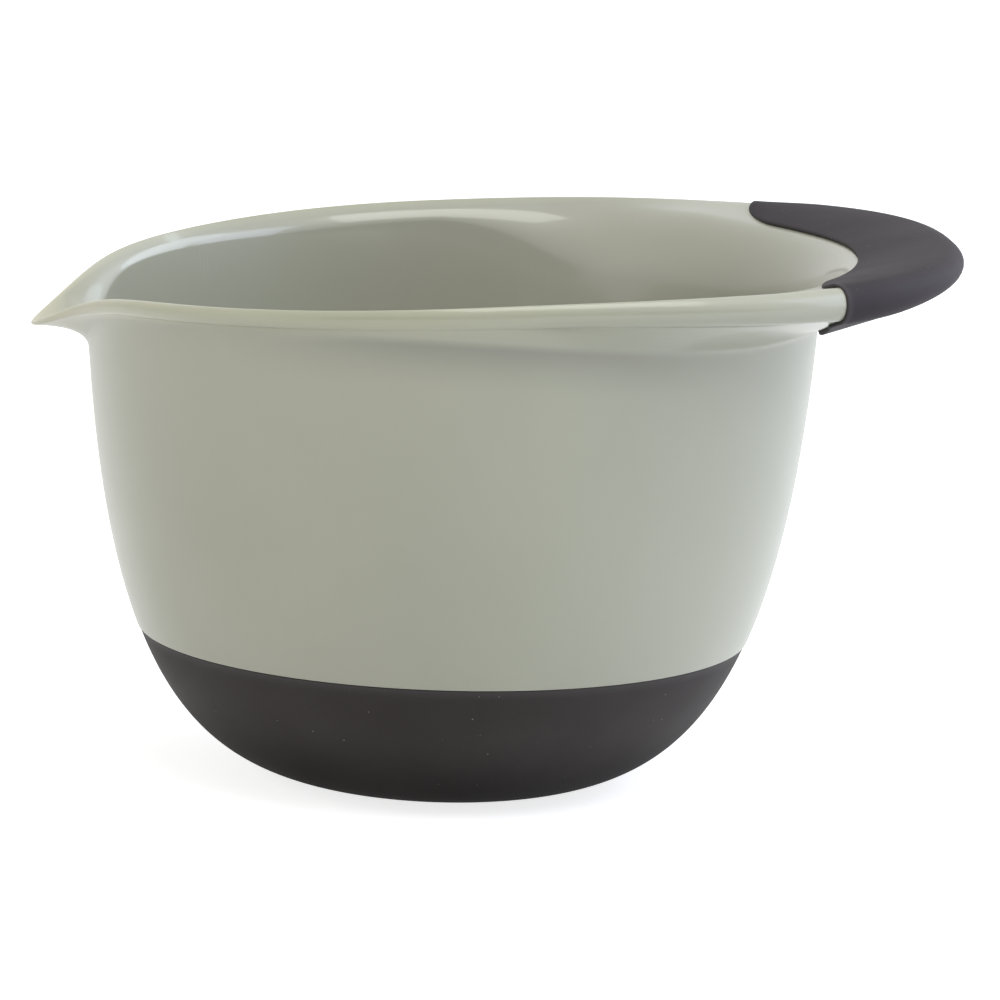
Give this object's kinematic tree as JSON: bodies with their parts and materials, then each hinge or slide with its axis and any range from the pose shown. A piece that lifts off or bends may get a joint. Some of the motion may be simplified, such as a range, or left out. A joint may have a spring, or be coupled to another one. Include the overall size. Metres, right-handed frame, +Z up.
{
  "type": "batter bowl",
  "caption": "Deep round-bottomed mixing bowl with a beaded rim, a pouring spout, a crescent handle with a soft grip, and a soft non-slip base.",
  "frame": {"origin": "centre of the flat foot, on the bowl's axis, at the height of the table", "axes": "+Z up along the bowl's axis, +X towards the handle, -X towards the spout, +Y by the right-hand rule"},
  "size_m": [0.2372, 0.193, 0.1432],
  "materials": {
    "shell_plastic": "satin outside, glossy inside",
    "base_rubber": "matte",
    "grip_rubber": "matte"
  },
  "bodies": {
    "root": {"bowl_shell": "shell_plastic", "base_skin": "base_rubber", "handle_grip": "grip_rubber"}
  },
  "joints": []
}
